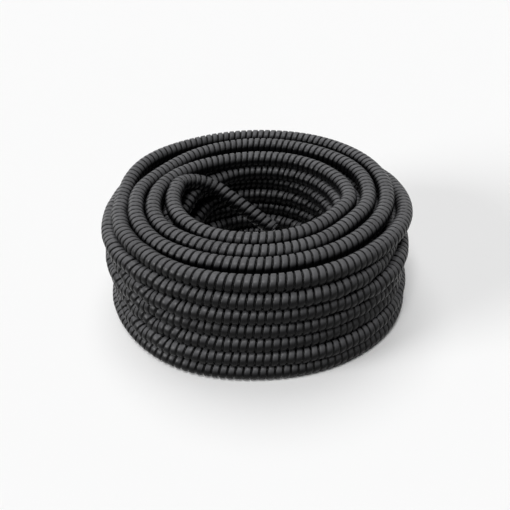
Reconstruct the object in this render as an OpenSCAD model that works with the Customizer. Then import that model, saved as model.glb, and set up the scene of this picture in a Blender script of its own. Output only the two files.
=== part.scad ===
// A loose coil of corrugated conduit, wound in flat layers, with its inner end lying free across the bore.
// Angles round the coil start at its front (-Y) and grow anticlockwise as seen from above.

/* [Conduit] */
// Diameter over the corrugations
conduit_od = 20.5; // [18:0.5:24]
// Diameter of the duct that the cables run in
conduit_bore = 16; // [12:0.5:16.5]
// Length of one corrugation, band and groove together
rib_pitch = 9.4; // [6:0.2:14]
// Width of the groove between two bands
groove_w = 2.2; // [1:0.2:4]
// Depth of that groove
groove_depth = 1.1; // [0.4:0.1:1.4]

/* [Coil] */
// Radius of the open middle of the coil
coil_bore_r = 97.5; // [90:0.5:120]
// Turns side by side in one layer
columns = 4; // [3:1:6]
// Layers of turns on each other
rows = 7; // [5:1:9]
// Gap between two turns of one layer
turn_gap = 4.2; // [2:0.2:7]
// How far a layer beds down into the one under it
bedding = 0.8; // [0.2:0.1:1]

/* [Inner end] */
// Angle at which the innermost top turn leaves the coil
leave_angle = -102.5; // [-140:0.5:-60]
// Centreline radius of the bend into the bore
bend_r = 50; // [40:1:60]
// How far the conduit turns in that bend
bend_angle = 97; // [80:1:110]
// Slant of the bend's plane, down into the bore
bend_slant = 30; // [20:1:35]
// Corrugations on the straight stretch after the bend
end_ribs = 9; // [5:1:10]
// Arc that the innermost top turn leaves open beyond its bend
open_arc = 30; // [28:1:36]
// Arc over which that turn climbs from the layer under it
rise_arc = 26; // [26:1:28]
// Slope of that climb
rise_slope = 26; // [24:1:26]
// Sideways lean of that climb, out of the bore
rise_lean = 5; // [4:1:8]

/* [Outer end] */
// Angle at which the outermost turn of the bottom layer ends
outer_end_angle = 205; // [150:1:230]
// Open arc beyond that end
outer_gap = 11; // [6:1:11]
// Depth to which the duct is open in that end
outer_bore_depth = 30; // [10:1:60]

/* [Hidden] */
$fn = 96;

column_step = conduit_od + turn_gap;
row_step = conduit_od - bedding;
inner_turn_r = coil_bore_r + conduit_od / 2;
outer_turn_r = inner_turn_r + (columns - 1) * column_step;
bottom_z = conduit_od / 2;
top_z = bottom_z + (rows - 1) * row_step;
groove_floor_d = conduit_od - 2 * groove_depth;
straight_len = end_ribs * rib_pitch;
outer_bore_arc = outer_bore_depth / outer_turn_r * 180 / PI;
join_lap = 2;
climb_lap = 3;
cut_over = 1;

function turn_r(column) = inner_turn_r + column * column_step;
function layer_z(row) = bottom_z + row * row_step;

// The turns that have a ring of their own, since an end of the conduit interrupts them
function is_open_turn(column, row) =
    (column == 0 && row == rows - 1) || (column == columns - 1 && row == 0);

module conduit_section() {
    circle(d = conduit_od);
}

// Half section through all the closed turns, with the hidden ones filled in as a core
module winding_section() {
    translate([turn_r(0), layer_z(0)])
        square([outer_turn_r - inner_turn_r, top_z - bottom_z]);
    for (column = [0 : columns - 1], row = [0 : rows - 1])
        if (!is_open_turn(column, row))
            translate([turn_r(column), layer_z(row)])
                conduit_section();
}

// Part of one turn, from one angle round the coil to another
module turn_arc(column, row, from, to, d = conduit_od) {
    translate([0, 0, layer_z(row)])
        rotate([0, 0, from - 90])
            rotate_extrude(angle = to - from)
                translate([turn_r(column), 0])
                    circle(d = d);
}

// Puts its children on a turn's centreline, with +X pointing out of the coil and +Y along the turn
module on_turn(column, row, angle) {
    translate([0, 0, layer_z(row)])
        rotate([0, 0, angle - 90])
            translate([turn_r(column), 0, 0])
                children();
}

// A bend that starts at the origin, runs towards -Y and turns towards -X
module bend(radius, angle) {
    translate([-radius, 0, 0])
        rotate([0, 0, -angle])
            rotate_extrude(angle = angle)
                translate([radius, 0])
                    conduit_section();
}

// Puts its children at the end of that bend, with +Z along the conduit
module after_bend(radius, angle) {
    translate([-radius, 0, 0])
        rotate([0, 0, -angle])
            translate([radius, 0, 0])
                rotate([90, 0, 0])
                    children();
}

// The start of the innermost top turn, where it climbs out of the layer under it.
// It is drawn at the depth of the grooves, and starts inside the turn so that the two join as one.
module climb() {
    on_turn(0, rows - 1, leave_angle + 360 - open_arc)
        rotate([-rise_slope, rise_lean, 0])
            translate([-inner_turn_r, 0, 0])
                rotate([0, 0, -climb_lap])
                    rotate_extrude(angle = rise_arc + climb_lap)
                        translate([inner_turn_r, 0])
                            circle(d = groove_floor_d);
}

// The innermost top turn: up from the layer below, once round the coil and down into its bore
module inner_turn() {
    climb();
    turn_arc(0, rows - 1, leave_angle, leave_angle + 360 - open_arc);
    on_turn(0, rows - 1, leave_angle)
        rotate([0, -bend_slant, 0])
            bend(bend_r, bend_angle);
}

// It starts inside the bend, so that the two join as one
module straight_end() {
    translate([0, 0, -join_lap])
        cylinder(d = groove_floor_d, h = straight_len + join_lap);
    for (rib = [0 : end_ribs - 1])
        translate([0, 0, rib * rib_pitch + groove_w])
            cylinder(d = conduit_od, h = rib_pitch - groove_w);
}

module inner_end() {
    on_turn(0, rows - 1, leave_angle)
        rotate([0, -bend_slant, 0])
            after_bend(bend_r, bend_angle)
                children();
}

// The last turn, round the foot of the coil, with its duct open at the end
module outer_turn() {
    difference() {
        turn_arc(columns - 1, 0, outer_end_angle + outer_gap - 360, outer_end_angle);
        turn_arc(columns - 1, 0, outer_end_angle - outer_bore_arc, outer_end_angle + cut_over,
            conduit_bore);
    }
}

module conduit() {
    color("#26282a")
        difference() {
            union() {
                rotate_extrude() winding_section();
                inner_turn();
                inner_end() straight_end();
                outer_turn();
            }
            inner_end() cylinder(d = conduit_bore, h = straight_len + cut_over);
        }
}

conduit();
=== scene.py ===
"""A loose coil of black corrugated conduit, with its inner end lying free across the open middle."""
import math

import bmesh
import bpy
import numpy as np
from bpy.props import FloatProperty, FloatVectorProperty, IntProperty, PointerProperty
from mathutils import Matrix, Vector


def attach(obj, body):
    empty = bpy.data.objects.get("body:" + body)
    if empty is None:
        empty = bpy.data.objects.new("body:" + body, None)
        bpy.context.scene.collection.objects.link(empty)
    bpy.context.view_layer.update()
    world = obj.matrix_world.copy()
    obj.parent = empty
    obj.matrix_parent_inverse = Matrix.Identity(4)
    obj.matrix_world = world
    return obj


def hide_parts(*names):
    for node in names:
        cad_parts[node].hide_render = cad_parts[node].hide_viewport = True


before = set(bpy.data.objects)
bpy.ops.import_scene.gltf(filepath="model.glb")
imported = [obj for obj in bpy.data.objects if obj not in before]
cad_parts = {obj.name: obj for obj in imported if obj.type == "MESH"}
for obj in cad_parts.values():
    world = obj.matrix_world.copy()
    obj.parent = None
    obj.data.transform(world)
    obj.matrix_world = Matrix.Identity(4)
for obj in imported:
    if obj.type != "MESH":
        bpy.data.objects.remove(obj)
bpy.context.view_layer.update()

bl_info = {
    "name": "Corrugated conduit coil",
    "version": (1, 0, 0),
    "blender": (4, 5, 0),
    "location": "View3D > Sidebar > Conduit coil",
    "description": "Winds a coil of corrugated conduit and sets up a plain stage for it",
    "category": "Add Mesh",
}

MM = 0.001
COLUMNS = 4  # turns side by side in one layer
TOP = 6  # the number of the top layer, counted from 0 on the floor

# The places round the coil where a turn is written down, in degrees.
# They start at the left, and grow past the front, the right and the back.
PLACES = tuple(range(-90, 270, 30))
LEVEL = (0,) * len(PLACES)

# The top layer and the one under it, turn by turn along the conduit, as the loose coil lies:
# at each place, the centreline's distance from the coil's middle, and then how far the turn lies
# over or under its layer's height, in mm.
TOP_LAYER = (
    ((106.0, 105.3, 102.0, 96.0, 95.0, 98.8, 112.5, 111.0, 108.3, 106.4, 108.2, 118.5), LEVEL),
    ((127.7, 131.1, 125.8, 120.7, 119.5, 122.6, 136.8, 147.8, 148.4, 148.2, 144.0, 140.5), LEVEL),
    ((152.0, 154.5, 150.1, 144.4, 143.0, 147.3, 159.6, 173.5, 178.8, 176.7, 175.2, 176.5), LEVEL),
    ((170.5, 174.5, 176.8, 175.8, 173.0, 173.0, 179.0, 182.0, 184.0, 183.4, 182.0, 186.0),
     (-6, -5, -2, 0, 0, -3, -9, -15, -18.5, -19.7, -19.7, -19.7)),
)
SECOND_LAYER = (
    ((180.0, 180.5, 180.0, 179.0, 178.3, 172.0, 163.4, 163.8, 164.0, 163.4, 161.5, 157.0),
     (-1.5, -1, -0.5, 0, 0, -1, 0, 0, 0, 0, 0, 0)),
    ((152.0, 153.0, 153.0, 153.0, 151.0, 147.0, 144.0, 145.3, 146.0, 146.0, 144.0, 140.0), LEVEL),
    ((130.0, 129.5, 129.0, 129.0, 127.5, 126.5, 126.0, 129.0, 130.0, 129.0, 127.0, 125.0), LEVEL),
    ((112.0, 107.5, 105.0, 103.0, 103.5, 107.0, 112.0, 115.0, 115.0, 111.5, 102.0, 103.0),
     (0, 0, 0, 0, 0, 0, 0, 0, 0, 0, -3, -5)),
)
# The layers under those: how far the innermost turn bulges outwards at the back, and at each place
# the outermost turn's distance from the coil's middle, in mm.
LOWER_LAYERS = {
    4: (8.5, (179, 182, 183, 179, 178.5, 180, 176.5, 180, 180, 180, 180, 180)),
    3: (6.5, (182, 183, 183, 179, 178.5, 179, 177, 180, 180, 180, 180, 180)),
    2: (6.5, (180, 182, 184, 179, 178, 179, 176, 180, 180, 180, 180, 180)),
    1: (0.0, (178.5, 182.5, 186.5, 180, 181.5, 182.5, 181.5, 181.5, 181.5, 181.5, 181.5, 181.5)),
    0: (0.0, (179.5, 183.5, 186.5, 180, 181.5, 184, 181.5, 181.5, 181.5, 181.5, 181.5, 181.5)),
}


def linear(colour):
    """An sRGB colour, given as #rrggbb, in linear light."""
    shares = [int(colour[i:i + 2], 16) / 255 for i in (1, 3, 5)]
    return tuple(c / 12.92 if c <= 0.04045 else ((c + 0.055) / 1.055) ** 2.4 for c in shares)


def add_node(tree, kind, inputs=(), **settings):
    """Adds a node with its settings, then sets each input to a value or links it to a socket."""
    node = tree.nodes.new(kind)
    for name, value in settings.items():
        setattr(node, name, value)
    for key, value in dict(inputs).items():
        socket = node.inputs[key]
        if isinstance(value, bpy.types.NodeSocket):
            tree.links.new(value, socket)
        else:
            socket.default_value = value
    return node


# ---- sizes ----

class ConduitSizes(bpy.types.PropertyGroup):
    """The conduit itself"""
    outside: FloatProperty(name="Outside diameter", description="Diameter over the corrugations",
                           default=20.5 * MM, min=0.005, unit="LENGTH")
    bore: FloatProperty(name="Bore", description="Diameter of the duct that the cables run in",
                        default=16.0 * MM, min=0.003, unit="LENGTH")
    pitch: FloatProperty(name="Rib pitch", description="Length of one band and its groove",
                         default=8.6 * MM, min=0.002, unit="LENGTH")
    groove: FloatProperty(name="Groove depth", description="Depth of the groove between two bands",
                          default=2.1 * MM, min=0.0, unit="LENGTH")
    bore_depth: FloatProperty(name="Open depth", description="How far the duct is open from each cut end",
                              default=70.0 * MM, min=0.01, unit="LENGTH")
    colour: FloatVectorProperty(name="Colour", description="Colour of the PVC", subtype="COLOR",
                                default=linear("#0c0c0d"), min=0.0, max=1.0)
    # painted sheen: grey painted light on the faces that look up
    painted_sheen: FloatVectorProperty(name="Painted sheen", description="Colour of the film on the faces that look up",
                               subtype="COLOR", default=linear("#5c5c5e"), min=0.0, max=1.0)


class CoilSizes(bpy.types.PropertyGroup):
    """How the conduit is wound"""
    layer_step: FloatProperty(name="Layer step", description="Height from one layer to the next",
                              default=19.7 * MM, min=0.005, unit="LENGTH")
    inner_radius: FloatProperty(name="Inner turn radius",
                                description="Centreline radius of a lower layer's innermost turn",
                                default=103.5 * MM, min=0.02, unit="LENGTH")
    looseness: FloatProperty(name="Looseness", description="How far a turn strays from its circle",
                             default=1.6 * MM, min=0.0, unit="LENGTH")
    seed: IntProperty(name="Seed", description="Chooses how the turns stray", default=5, min=0)
    end_angle: FloatProperty(name="Outer end",
                             description="Angle round the coil at which its outer end lies",
                             default=math.radians(205), subtype="ANGLE")


class TailSizes(bpy.types.PropertyGroup):
    """The free inner end"""
    leave_angle: FloatProperty(name="Leaves at",
                               description="Angle round the coil at which the inner end leaves it",
                               default=math.radians(-102.5), subtype="ANGLE")
    leave_radius: FloatProperty(name="Leaves from radius",
                                description="Centreline radius of the turn that it leaves",
                                default=107.75 * MM, min=0.02, unit="LENGTH")
    bend_radius: FloatProperty(name="Bend radius", description="Centreline radius of its bend",
                               default=50.0 * MM, min=0.02, unit="LENGTH")
    bend_angle: FloatProperty(name="Bend", description="How far it turns",
                              default=math.radians(97), subtype="ANGLE")
    bend_slant: FloatProperty(name="Slant", description="Slant of the bend's plane, down into the coil",
                              default=math.radians(30), subtype="ANGLE")
    straight: FloatProperty(name="Straight end", description="Length of the straight stretch after the bend",
                            default=84.6 * MM, min=0.0, unit="LENGTH")


class StageSizes(bpy.types.PropertyGroup):
    """The floor, the lamps and the camera"""
    floor: FloatVectorProperty(name="Floor", description="Colour of the floor", subtype="COLOR",
                               default=linear("#f4f4f4"), min=0.0, max=1.0)
    side: FloatProperty(name="Side light", description="Strength of the lamp low on the left",
                        default=2.1, min=0.0)
    front: FloatProperty(name="Front light", description="Strength of the lamp high over the front",
                         default=1.75, min=0.0)
    top: FloatProperty(name="Top light", description="Strength of the lamp overhead",
                       default=1.1, min=0.0)
    fill: FloatProperty(name="Sky", description="Strength of the even light from all round",
                        default=0.02, min=0.0)
    lens: FloatProperty(name="Lens", description="Focal length of the camera, in millimetres",
                        default=46.18, min=10.0)


# ---- the line that the conduit follows ----

BEND_POINTS = 30
STRAIGHT_POINTS = 18
DEGREES_APART = 2.5  # between two points of the winding
CUT_BEFORE = 10  # degrees from a layer's last written place back to the joint between two stretches
NEAR_CUT = 0.1 * MM  # a point of the line that is nearer than this to such a joint is left out

OUTER_STRAY = 0.2  # the outermost turn's share of the others' stray, since its place is given
STRAY_UP = 0.3  # the stray up and down, as a share of the stray sideways
BULGE_SPREAD = 1.6  # over 1, the bulge at the back is flat in its middle

SETTLE_ROUNDS = 40
TOUCHING = 0.985  # diameters between two turns that touch, since they press into each other a little
PUSH_SHARE = 0.3  # the share of an overlap by which each of the two turns gives way in one round
TOP_LIFT = 0.2  # the top layer's share of a push up or down, so that it keeps its written heights
PUSH_SPREAD = 7  # points of the line over which a push is evened out
FAR_AWAY = 9.0  # a radius at which a spare point touches nothing


def on_circle(angle, radius, height):
    """A point on the coil: the angle starts at the front and grows towards the right."""
    return np.array((radius * math.sin(angle), -radius * math.cos(angle), height))


def tail_line(tail, top_z):
    """The free inner end, from its cut end to the turn that it belongs to."""
    side = np.array((math.sin(tail.leave_angle), -math.cos(tail.leave_angle), 0.0))
    along = np.array((math.cos(tail.leave_angle), math.sin(tail.leave_angle), 0.0))
    start = side * tail.leave_radius + np.array((0, 0, top_z))
    inwards = -side * math.cos(tail.bend_slant) - np.array((0, 0, math.sin(tail.bend_slant)))
    centre = start + inwards * tail.bend_radius
    bend = [centre - inwards * tail.bend_radius * math.cos(turn) - along * tail.bend_radius * math.sin(turn)
            for turn in np.linspace(0, tail.bend_angle, BEND_POINTS)]
    heading = inwards * math.sin(tail.bend_angle) - along * math.cos(tail.bend_angle)
    steps = np.linspace(0, tail.straight, STRAIGHT_POINTS)[1:]
    straight = [bend[-1] + heading * step for step in steps]
    return (bend + straight)[::-1]


def smooth_curve(at, knots, values):
    """A smooth curve through the knots, read at the places in at."""
    knots = np.array(knots, float)
    values = np.array(values, float)
    slope = np.gradient(values, knots)
    i = np.clip(np.searchsorted(knots, at, side="right") - 1, 0, len(knots) - 2)
    width = knots[i + 1] - knots[i]
    # t runs from 0 at one knot to 1 at the next
    t = (at - knots[i]) / width
    return ((2 * t**3 - 3 * t**2 + 1) * values[i] + (t**3 - 2 * t**2 + t) * width * slope[i]
            + (3 * t**2 - 2 * t**3) * values[i + 1] + (t**3 - t**2) * width * slope[i + 1])


def coil_knots(coil, top_z):
    """Angle, radius, height and layer of every written place along the winding, layer under layer."""
    chance = np.random.default_rng(coil.seed)
    knots = []
    turn = 0
    for layer, table in ((TOP, TOP_LAYER), (TOP - 1, SECOND_LAYER)):
        layer_z = top_z - (TOP - layer) * coil.layer_step
        for radii, lifts in table:
            for place, radius, lift in zip(PLACES, radii, lifts):
                knots.append((turn * 360 + place, radius * MM, layer_z + lift * MM, layer))
            turn += 1
    outer_column = COLUMNS - 1
    for layer, (bulge, outermost) in LOWER_LAYERS.items():
        layer_z = top_z - (TOP - layer) * coil.layer_step
        outwards = layer % 2 == 0
        for column in (range(COLUMNS) if outwards else reversed(range(COLUMNS))):
            stray = chance.uniform(-1, 1, (2, len(PLACES))) * coil.looseness
            stray *= OUTER_STRAY if column == outer_column else 1
            following = column + (1 if outwards else -1)
            for i, place in enumerate(PLACES):
                # 0 from the left over the front to the right, and 1 right at the back
                back = 0.5 - 0.5 * math.cos(math.radians(min(max(place - 90, 0), 180) * 2))
                inner = coil.inner_radius + bulge * MM * min(1.0, BULGE_SPREAD * back)
                gap = (outermost[i] * MM - inner) / outer_column
                radius = inner + column * gap + stray[0, i]
                height = layer_z + stray[1, i] * STRAY_UP
                # at its last place the turn is halfway to the next column, or to the layer below
                if place == PLACES[-1]:
                    if 0 <= following < COLUMNS:
                        radius += 0.5 * (following - column) * gap
                    elif layer > 0:
                        height -= coil.layer_step * 0.5
                knots.append((turn * 360 + place, radius, height, layer))
            turn += 1
    return knots


def settle(radii, heights, outside):
    """Pushes turns that press into each other apart.

    No turn sinks into the floor, and the top layer hardly lifts.
    """
    around = round(360 / DEGREES_APART)
    turns = math.ceil(len(radii) / around)
    # spare points fill up the last turn
    spare = turns * around - len(radii)
    at = np.stack([np.append(radii, np.full(spare, FAR_AWAY)), np.append(heights, np.zeros(spare))])
    at = at.reshape(2, turns, around)
    even = np.ones(PUSH_SPREAD) / PUSH_SPREAD
    for _ in range(SETTLE_ROUNDS):
        apart = at[:, :, None, :] - at[:, None, :, :]
        # a turn's gap to itself is kept just over zero, since the push is divided by it
        gap = np.sqrt((apart ** 2).sum(0)) + 1e-9
        press = np.clip(TOUCHING * outside - gap, 0, None)
        press[np.arange(turns), np.arange(turns)] = 0
        push = (apart / gap * press).sum(2).reshape(2, -1) * PUSH_SHARE
        # the top layer's turns come first
        push[1, :COLUMNS * around] *= TOP_LIFT
        push = np.stack([np.convolve(np.pad(row, PUSH_SPREAD // 2, mode="edge"), even, mode="valid")
                         for row in push])
        at = at + push.reshape(at.shape)
        at[1] = np.maximum(at[1], outside / 2)
    return at[0].ravel()[:len(radii)], at[1].ravel()[:len(radii)]


def coil_lines(coil, tail, top_z, pitch, outside):
    """The whole conduit's line, and the distances along it at which it is cut.

    There is one stretch for each layer, and each is a whole number of ribs long.
    """
    leave = math.degrees(tail.leave_angle)
    knots = [(leave, tail.leave_radius, top_z, TOP)] + coil_knots(coil, top_z)
    angles, radii, heights, layers = (np.array(column, float) for column in zip(*knots))
    last = angles[-1] - PLACES[-1] + math.degrees(coil.end_angle)
    steps = np.arange(leave, last, DEGREES_APART)
    settled = settle(smooth_curve(steps, angles, radii), smooth_curve(steps, angles, heights), outside)
    winding = [on_circle(math.radians(angle), radius, height)
               for angle, radius, height in zip(steps, *settled)]
    ends = tail_line(tail, top_z)
    line = np.array(ends[:-1] + winding)
    run = np.concatenate([[0], np.cumsum(np.linalg.norm(np.diff(line, axis=0), axis=1))])
    cuts = [0.0]
    for layer in range(TOP, 0, -1):
        angle = angles[layers == layer].max() - CUT_BEFORE
        where = run[len(ends) - 1 + int((angle - leave) / DEGREES_APART)]
        cuts.append(round(where / pitch) * pitch)
    cuts.append(math.floor(run[-1] / pitch) * pitch)
    return line, run, cuts


def stretch(line, run, start, end):
    """The part of a line between two distances along it."""
    inside = (run > start + NEAR_CUT) & (run < end - NEAR_CUT)
    ends = [[np.interp(distance, run, line[:, i]) for i in range(3)] for distance in (start, end)]
    return np.array([ends[0], *line[inside], ends[1]])


# ---- the ribbed tube ----

# Along one corrugation: where each ring of the mesh lies, as a share of the pitch, and how deep it
# lies, as a share of the groove's depth.
RIB_PROFILE = ((0.00, 1.0), (0.10, 0.6), (0.17, 0.08), (0.24, 0.0), (0.76, 0.0), (0.83, 0.08), (0.90, 0.6))
RINGS = len(RIB_PROFILE)
SIDES = 20  # of the tube, all round
NO_LENGTH = 0.01 * MM  # a length under this counts as none
WELD = 0.002 * MM  # points of the tube that are nearer than this become one
SLIVER = 0.0001 * MM  # an edge shorter than this is dissolved
SPARE_RIBS = 2  # past the duct's depth, so that its bottom closes


def ribbed_tube_tree(material):
    """Geometry nodes that turn a line into a helically ribbed tube, with its cut ends open or closed."""
    tree = bpy.data.node_groups.new("ribbed tube", "GeometryNodeTree")
    tree.interface.new_socket("Line", in_out="INPUT", socket_type="NodeSocketGeometry")
    for name in ("Ribs", "Lead in", "Lead out"):
        tree.interface.new_socket(name, in_out="INPUT", socket_type="NodeSocketInt")
    for name in ("Pitch", "Radius", "Groove depth", "Bore radius", "Open at start", "Open at end"):
        tree.interface.new_socket(name, in_out="INPUT", socket_type="NodeSocketFloat")
    tree.interface.new_socket("Geometry", in_out="OUTPUT", socket_type="NodeSocketGeometry")
    given = add_node(tree, "NodeGroupInput").outputs

    # a flat grid with one row of points for each ring of the tube
    leads = add_node(tree, "FunctionNodeIntegerMath", {0: given["Lead in"], 1: given["Lead out"]},
                     operation="ADD").outputs[0]
    ribs = add_node(tree, "FunctionNodeIntegerMath", {0: given["Ribs"], 1: leads},
                    operation="ADD").outputs[0]
    rows = add_node(tree, "FunctionNodeIntegerMath", {0: ribs, 1: RINGS, 2: 1},
                    operation="MULTIPLY_ADD").outputs[0]
    grid = add_node(tree, "GeometryNodeMeshGrid", {"Vertices X": rows, "Vertices Y": SIDES + 1})

    # which ring and side a point is on, and which rib and step of the profile that ring is
    index = add_node(tree, "GeometryNodeInputIndex").outputs[0]
    ring = add_node(tree, "FunctionNodeIntegerMath", {0: index, 1: SIDES + 1},
                    operation="DIVIDE_FLOOR").outputs[0]
    side = add_node(tree, "FunctionNodeIntegerMath", {0: index, 1: SIDES + 1}, operation="MODULO").outputs[0]
    rib = add_node(tree, "FunctionNodeIntegerMath", {0: ring, 1: RINGS}, operation="DIVIDE_FLOOR").outputs[0]
    step = add_node(tree, "FunctionNodeIntegerMath", {0: ring, 1: RINGS}, operation="MODULO").outputs[0]
    profile = []
    for values in zip(*RIB_PROFILE):
        choice = add_node(tree, "GeometryNodeIndexSwitch", data_type="FLOAT")
        while len(choice.index_switch_items) < RINGS:
            choice.index_switch_items.new()
        tree.links.new(step, choice.inputs["Index"])
        for i, value in enumerate(values):
            choice.inputs[i + 1].default_value = value
        profile.append(choice.outputs[0])
    share, depth = profile

    # each side lies a little further on than the one before it, so that the ribs run in a helix
    turns = add_node(tree, "ShaderNodeMath", {0: side, 1: float(SIDES)}, operation="DIVIDE").outputs[0]
    within = add_node(tree, "ShaderNodeMath", {0: share, 1: turns}, operation="ADD").outputs[0]
    counted = add_node(tree, "ShaderNodeMath", {0: rib, 1: given["Lead in"]},
                       operation="SUBTRACT").outputs[0]
    whole = add_node(tree, "ShaderNodeMath", {0: counted, 1: within}, operation="ADD").outputs[0]
    along = add_node(tree, "ShaderNodeMath", {0: whole, 1: given["Pitch"]}, operation="MULTIPLY").outputs[0]
    length = add_node(tree, "ShaderNodeMath", {0: given["Ribs"], 1: given["Pitch"]},
                      operation="MULTIPLY").outputs[0]
    sunk = add_node(tree, "ShaderNodeMath", {0: depth, 1: given["Groove depth"]},
                    operation="MULTIPLY").outputs[0]
    outer = add_node(tree, "ShaderNodeMath", {0: given["Radius"], 1: sunk}, operation="SUBTRACT").outputs[0]

    # past a cut end the rings fold back into the duct, and at its bottom they close it
    place = along
    radius = outer
    for edge, opened, outwards in ((0.0, given["Open at start"], -1.0), (length, given["Open at end"], 1.0)):
        over_edge = add_node(tree, "ShaderNodeMath", {0: along, 1: edge}, operation="SUBTRACT").outputs[0]
        past = add_node(tree, "ShaderNodeMath", {0: over_edge, 1: outwards}, operation="MULTIPLY").outputs[0]
        beyond = add_node(tree, "FunctionNodeCompare", {0: past, 1: NO_LENGTH},
                          operation="GREATER_THAN").outputs[0]
        is_open = add_node(tree, "FunctionNodeCompare", {0: opened, 1: NO_LENGTH},
                           operation="GREATER_THAN").outputs[0]
        fold = add_node(tree, "FunctionNodeBooleanMath", {0: beyond, 1: is_open}, operation="AND").outputs[0]
        deep = add_node(tree, "ShaderNodeMath", {0: past, 1: opened}, operation="MINIMUM").outputs[0]
        inside = add_node(tree, "ShaderNodeMath", {0: deep, 1: -outwards, 2: edge},
                          operation="MULTIPLY_ADD").outputs[0]
        closed = add_node(tree, "FunctionNodeCompare", {0: past, 1: opened},
                          operation="GREATER_THAN").outputs[0]
        inner = add_node(tree, "GeometryNodeSwitch", {"Switch": closed, "False": given["Bore radius"],
                                                      "True": 0.0}, input_type="FLOAT").outputs[0]
        place = add_node(tree, "GeometryNodeSwitch", {"Switch": fold, "False": place, "True": inside},
                         input_type="FLOAT").outputs[0]
        radius = add_node(tree, "GeometryNodeSwitch", {"Switch": fold, "False": radius, "True": inner},
                          input_type="FLOAT").outputs[0]

    # each point goes to its place round the line, square to it
    line = add_node(tree, "GeometryNodeMeshToCurve", {"Mesh": given["Line"]}).outputs[0]
    sample = add_node(tree, "GeometryNodeSampleCurve", {"Curves": line, "Length": place},
                      mode="LENGTH").outputs
    level = add_node(tree, "ShaderNodeVectorMath", {0: sample["Tangent"], 1: (0, 0, 1)},
                     operation="CROSS_PRODUCT").outputs[0]
    out = add_node(tree, "ShaderNodeVectorMath", {0: level}, operation="NORMALIZE").outputs[0]
    up = add_node(tree, "ShaderNodeVectorMath", {0: out, 1: sample["Tangent"]},
                  operation="CROSS_PRODUCT").outputs[0]
    angle = add_node(tree, "ShaderNodeMath", {0: turns, 1: math.tau}, operation="MULTIPLY").outputs[0]
    cosine = add_node(tree, "ShaderNodeMath", {0: angle}, operation="COSINE").outputs[0]
    sine = add_node(tree, "ShaderNodeMath", {0: angle}, operation="SINE").outputs[0]
    sideways = add_node(tree, "ShaderNodeMath", {0: cosine, 1: radius}, operation="MULTIPLY").outputs[0]
    upwards = add_node(tree, "ShaderNodeMath", {0: sine, 1: radius}, operation="MULTIPLY").outputs[0]
    across = add_node(tree, "ShaderNodeVectorMath", {0: out, "Scale": sideways},
                      operation="SCALE").outputs[0]
    over = add_node(tree, "ShaderNodeVectorMath", {0: up, "Scale": upwards},
                    operation="SCALE").outputs[0]
    spoke = add_node(tree, "ShaderNodeVectorMath", {0: across, 1: over}, operation="ADD").outputs[0]

    # before and after the line's ends the tube runs straight on
    started = add_node(tree, "ShaderNodeMath", {0: place, 1: 0.0}, operation="MAXIMUM").outputs[0]
    clamped = add_node(tree, "ShaderNodeMath", {0: started, 1: length}, operation="MINIMUM").outputs[0]
    further = add_node(tree, "ShaderNodeMath", {0: place, 1: clamped}, operation="SUBTRACT").outputs[0]
    extra = add_node(tree, "ShaderNodeVectorMath", {0: sample["Tangent"], "Scale": further},
                     operation="SCALE").outputs[0]
    middle = add_node(tree, "ShaderNodeVectorMath", {0: sample["Position"], 1: extra},
                      operation="ADD").outputs[0]
    where = add_node(tree, "ShaderNodeVectorMath", {0: middle, 1: spoke}, operation="ADD").outputs[0]
    placed = add_node(tree, "GeometryNodeSetPosition", {"Geometry": grid.outputs["Mesh"], "Position": where})
    noted = add_node(tree, "GeometryNodeStoreNamedAttribute", {
        "Geometry": placed.outputs[0], "Name": "groove", "Value": depth}, data_type="FLOAT", domain="POINT")
    merged = add_node(tree, "GeometryNodeMergeByDistance", {"Geometry": noted.outputs[0], "Distance": WELD})
    smooth = add_node(tree, "GeometryNodeSetShadeSmooth", {"Geometry": merged.outputs[0]})
    real = add_node(tree, "GeometryNodeRealizeInstances", {"Geometry": smooth.outputs[0]})
    dressed = add_node(tree, "GeometryNodeSetMaterial", {"Geometry": real.outputs[0], "Material": material})
    add_node(tree, "NodeGroupOutput", {"Geometry": dressed.outputs[0]})
    return tree


def ribbed_piece(name, line, sizes, tree, open_start, open_end):
    """One stretch of conduit as a plain mesh."""
    run = np.linalg.norm(np.diff(line, axis=0), axis=1).sum()
    mesh = bpy.data.meshes.new(name + "_line")
    mesh.from_pydata([tuple(point) for point in line], [(i, i + 1) for i in range(len(line) - 1)], [])
    source = bpy.data.objects.new(name + "_line", mesh)
    bpy.context.collection.objects.link(source)
    modifier = source.modifiers.new("ribs", "NODES")
    modifier.node_group = tree
    lead = math.ceil(sizes.bore_depth / sizes.pitch) + SPARE_RIBS
    values = {"Ribs": round(run / sizes.pitch), "Lead in": lead if open_start else 0,
              "Lead out": lead if open_end else 0, "Pitch": sizes.pitch, "Radius": sizes.outside / 2,
              "Groove depth": sizes.groove, "Bore radius": sizes.bore / 2,
              "Open at start": sizes.bore_depth if open_start else 0.0,
              "Open at end": sizes.bore_depth if open_end else 0.0}
    for item in tree.interface.items_tree:
        if item.in_out == "INPUT" and item.name in values:
            modifier[item.identifier] = values[item.name]
    evaluated = source.evaluated_get(bpy.context.evaluated_depsgraph_get())
    mesh = bpy.data.meshes.new_from_object(evaluated)
    bpy.data.objects.remove(source)
    mesh.name = name
    # close what is still open and turn every face outwards
    bm = bmesh.new()
    bm.from_mesh(mesh)
    bmesh.ops.dissolve_degenerate(bm, edges=bm.edges, dist=SLIVER)
    bmesh.ops.holes_fill(bm, edges=[edge for edge in bm.edges if edge.is_boundary], sides=0)
    bmesh.ops.recalc_face_normals(bm, faces=bm.faces)
    bm.to_mesh(mesh)
    bm.free()
    piece = bpy.data.objects.new(name, mesh)
    bpy.context.collection.objects.link(piece)
    return piece


# ---- materials ----

PATCH = 25 * MM  # across one cloudy patch of the painted sheen
GRAIN = 0.8 * MM  # of the extruded skin, drawn coarser than it is so that it shows
GROOVE_PAINTED_SHADE = 0.3  # the painted shade in a groove, as a share of the sheath's colour
THROWN_BACK = 0.15  # the share of its colour that the floor throws back as light


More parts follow.
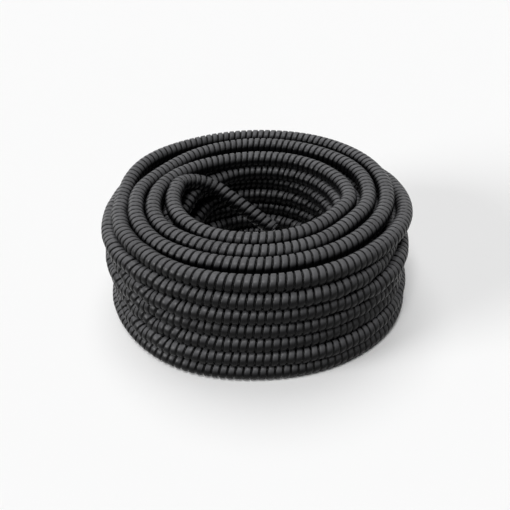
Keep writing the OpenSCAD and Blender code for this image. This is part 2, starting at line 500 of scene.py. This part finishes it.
def black_pvc(colour, painted_sheen):
    """Black PVC sheath, extruded over wound steel strip that gives it its ribs.

    To the eye it is a satin skin with soft lights along the bands. Shade is painted into its grooves, and a
    grey sheen of painted light on the faces that look up.
    """
    material = bpy.data.materials.new("black_pvc_conduit")
    material.use_nodes = True
    tree = material.node_tree
    shader = tree.nodes["Principled BSDF"]
    shader.inputs["IOR"].default_value = 1.53  # PVC's own
    shader.inputs["Specular IOR Level"].default_value = 0.1
    spot = add_node(tree, "ShaderNodeTexCoord").outputs

    # painted light: a grey sheen painted on the faces that look up, in cloudy patches
    cloud = add_node(tree, "ShaderNodeTexNoise", {"Vector": spot["Object"], "Scale": 1 / PATCH,
                                                  "Detail": 4.0, "Roughness": 0.6}).outputs["Fac"]
    patchy = add_node(tree, "ShaderNodeMapRange", {"Value": cloud, "From Min": 0.3, "From Max": 0.7,
                                                   "To Min": 0.7, "To Max": 1.0}).outputs[0]
    up = add_node(tree, "ShaderNodeSeparateXYZ", {0: spot["Normal"]}).outputs["Z"]
    # how far a face looks up, which is where the sheen is painted
    settled = add_node(tree, "ShaderNodeMapRange", {"Value": up, "From Min": 0.2, "From Max": 0.9},
                       interpolation_type="SMOOTHSTEP").outputs[0]
    painted_sheen_share = add_node(tree, "ShaderNodeMath", {0: settled, 1: patchy}, operation="MULTIPLY").outputs[0]
    skin = add_node(tree, "ShaderNodeMix", {"Factor": painted_sheen_share, "A": (*colour, 1), "B": (*painted_sheen, 1)},
                    data_type="RGBA").outputs["Result"]

    # painted shade: the grooves are darker, fully so from six tenths of their depth down
    depth = add_node(tree, "ShaderNodeAttribute", attribute_name="groove").outputs["Fac"]
    groove = add_node(tree, "ShaderNodeMath", {0: depth, 1: 1.7}, operation="MULTIPLY",
                      use_clamp=True).outputs[0]
    painted_groove_shade = [share * GROOVE_PAINTED_SHADE for share in colour]
    sheath = add_node(tree, "ShaderNodeMix", {"Factor": groove, "A": skin, "B": (*painted_groove_shade, 1)},
                      data_type="RGBA").outputs["Result"]
    tree.links.new(sheath, shader.inputs["Base Color"])

    rough = add_node(tree, "ShaderNodeMapRange", {"Value": cloud, "From Min": 0.3, "From Max": 0.7,
                                                  "To Min": 0.25, "To Max": 0.33}).outputs[0]
    tree.links.new(rough, shader.inputs["Roughness"])
    grain = add_node(tree, "ShaderNodeTexNoise", {"Vector": spot["Object"], "Scale": 1 / GRAIN,
                                                  "Detail": 2.0, "Roughness": 0.5}).outputs["Fac"]
    bump = add_node(tree, "ShaderNodeBump", {"Height": grain, "Strength": 0.12, "Distance": 0.3 * MM})
    tree.links.new(bump.outputs[0], shader.inputs["Normal"])
    return material


def seen_directly(tree):
    """1 for what the lens, a glossy surface or a clear one looks at, and 0 for any other light."""
    path = add_node(tree, "ShaderNodeLightPath").outputs
    seen = path["Is Camera Ray"]
    for other in ("Is Glossy Ray", "Is Transmission Ray"):
        seen = add_node(tree, "ShaderNodeMath", {0: seen, 1: path[other]}, operation="MAXIMUM").outputs[0]
    return seen


def white_board(colour):
    """White painted board, matt and even.

    The lens and glossy surfaces see its white, and it throws little light back up at the coil.
    """
    material = bpy.data.materials.new("white_painted_board")
    material.use_nodes = True
    tree = material.node_tree
    shader = tree.nodes["Principled BSDF"]
    shader.inputs["Roughness"].default_value = 0.9
    shader.inputs["Specular IOR Level"].default_value = 0.2
    dim = [share * THROWN_BACK for share in colour]
    shade = add_node(tree, "ShaderNodeMix", {"Factor": seen_directly(tree), "A": (*dim, 1),
                                             "B": (*colour, 1)}, data_type="RGBA")
    tree.links.new(shade.outputs["Result"], shader.inputs["Base Color"])
    return material


# ---- operators ----

CAMERA_PLACE = (-0.0041, -0.7057, 0.5408)
CAMERA_AIM = (-0.0041, 0.0, 0.0415)
FLOOR_REACH = 6.0  # from the coil to each side of the floor
FLOOR_DROP = 0.3 * MM  # keeps the floor clear of the conduit that lies on it

# Each lamp's name, how wide it looks from the coil in degrees, and which way it lies from there.
# Its strength is the stage's value of that name.
LAMPS = (
    ("side", 26, (-0.88, -0.36, 0.30)),
    ("front", 24, (-0.1, -0.4, 0.91)),
    ("top", 40, (-0.1, 0.35, 0.93)),
)


class CONDUIT_OT_camera(bpy.types.Operator):
    """Sets the camera in front of the coil, looking down on it"""
    bl_idname = "conduit.camera"
    bl_label = "Camera"

    def execute(self, context):
        data = bpy.data.cameras.new("camera")
        data.lens = context.scene.conduit_stage.lens
        data.clip_start = 0.01
        data.clip_end = 20
        camera = bpy.data.objects.new("camera", data)
        camera.location = CAMERA_PLACE
        look = Vector(CAMERA_AIM) - camera.location
        camera.rotation_euler = look.to_track_quat("-Z", "Y").to_euler()
        context.collection.objects.link(camera)
        context.scene.camera = camera
        return {"FINISHED"}


class CONDUIT_OT_coil(bpy.types.Operator):
    """Winds the conduit, one piece for each layer, from the free inner end to the outer one"""
    bl_idname = "conduit.coil"
    bl_label = "Coil"

    def execute(self, context):
        sizes = context.scene.conduit_sizes
        coil = context.scene.conduit_coil
        tail = context.scene.conduit_tail
        top_z = sizes.outside / 2 + TOP * coil.layer_step
        line, run, cuts = coil_lines(coil, tail, top_z, sizes.pitch, sizes.outside)
        tree = ribbed_tube_tree(black_pvc(tuple(sizes.colour), tuple(sizes.painted_sheen)))
        last = len(cuts) - 2
        for i, (start, end) in enumerate(zip(cuts, cuts[1:])):
            part = stretch(line, run, start, end)
            name = f"conduit_layer_{TOP + 1 - i}"
            piece = ribbed_piece(name, part, sizes, tree, i == 0, i == last)
            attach(piece, "root")
            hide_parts("conduit")
        return {"FINISHED"}


class CONDUIT_OT_stage(bpy.types.Operator):
    """Lays the pale floor and hangs the lamps"""
    bl_idname = "conduit.stage"
    bl_label = "Stage"

    def execute(self, context):
        stage = context.scene.conduit_stage
        far = FLOOR_REACH
        corners = [(-far, -far, 0), (far, -far, 0), (far, far, 0), (-far, far, 0)]
        mesh = bpy.data.meshes.new("floor")
        mesh.from_pydata(corners, [], [(0, 1, 2, 3)])
        mesh.materials.append(white_board(tuple(stage.floor)))
        floor = bpy.data.objects.new("floor", mesh)
        floor.location.z = -FLOOR_DROP
        context.collection.objects.link(floor)

        # the lens and glossy surfaces see a white surround, whose other light is the fill alone
        world = bpy.data.worlds.new("sky")
        context.scene.world = world
        world.use_nodes = True
        tree = world.node_tree
        background = tree.nodes["Background"]
        strength = add_node(tree, "ShaderNodeMix", {"Factor": seen_directly(tree), "A": stage.fill,
                                                    "B": 1.0}, data_type="FLOAT")
        background.inputs["Color"].default_value = (1, 1, 1, 1)
        tree.links.new(strength.outputs["Result"], background.inputs["Strength"])

        for name, width, way in LAMPS:
            lamp = bpy.data.lights.new(name, "SUN")
            lamp.angle = math.radians(width)
            lamp.energy = getattr(stage, name)
            holder = bpy.data.objects.new(name, lamp)
            holder.location = way
            holder.rotation_euler = (-holder.location).to_track_quat("-Z", "Y").to_euler()
            context.collection.objects.link(holder)
        context.scene.view_settings.view_transform = "Standard"
        return {"FINISHED"}


class CONDUIT_PT_panel(bpy.types.Panel):
    """Lists the sizes, with the operators that use them"""
    bl_label = "Conduit coil"
    bl_idname = "CONDUIT_PT_panel"
    bl_space_type = "VIEW_3D"
    bl_region_type = "UI"
    bl_category = "Conduit coil"

    def draw(self, context):
        scene = context.scene
        for label, group, operators in (
                ("Conduit", scene.conduit_sizes, ()),
                ("Coil", scene.conduit_coil, ()),
                ("Inner end", scene.conduit_tail, ("conduit.coil",)),
                ("Stage", scene.conduit_stage, ("conduit.camera", "conduit.stage"))):
            box = self.layout.box()
            box.label(text=label)
            for name in group.__annotations__:
                box.prop(group, name)
            for operator in operators:
                box.operator(operator)


GROUPS = (("conduit_sizes", ConduitSizes), ("conduit_coil", CoilSizes),
          ("conduit_tail", TailSizes), ("conduit_stage", StageSizes))
CLASSES = (*(kind for _, kind in GROUPS), CONDUIT_OT_camera, CONDUIT_OT_coil, CONDUIT_OT_stage,
           CONDUIT_PT_panel)


def register():
    for kind in CLASSES:
        bpy.utils.register_class(kind)
    for name, kind in GROUPS:
        setattr(bpy.types.Scene, name, PointerProperty(type=kind))


def unregister():
    for name, _ in GROUPS:
        delattr(bpy.types.Scene, name)
    for kind in reversed(CLASSES):
        bpy.utils.unregister_class(kind)


def main():
    register()
    bpy.ops.conduit.camera()
    bpy.ops.conduit.coil()
    bpy.ops.conduit.stage()


if __name__ == "__main__":
    main()
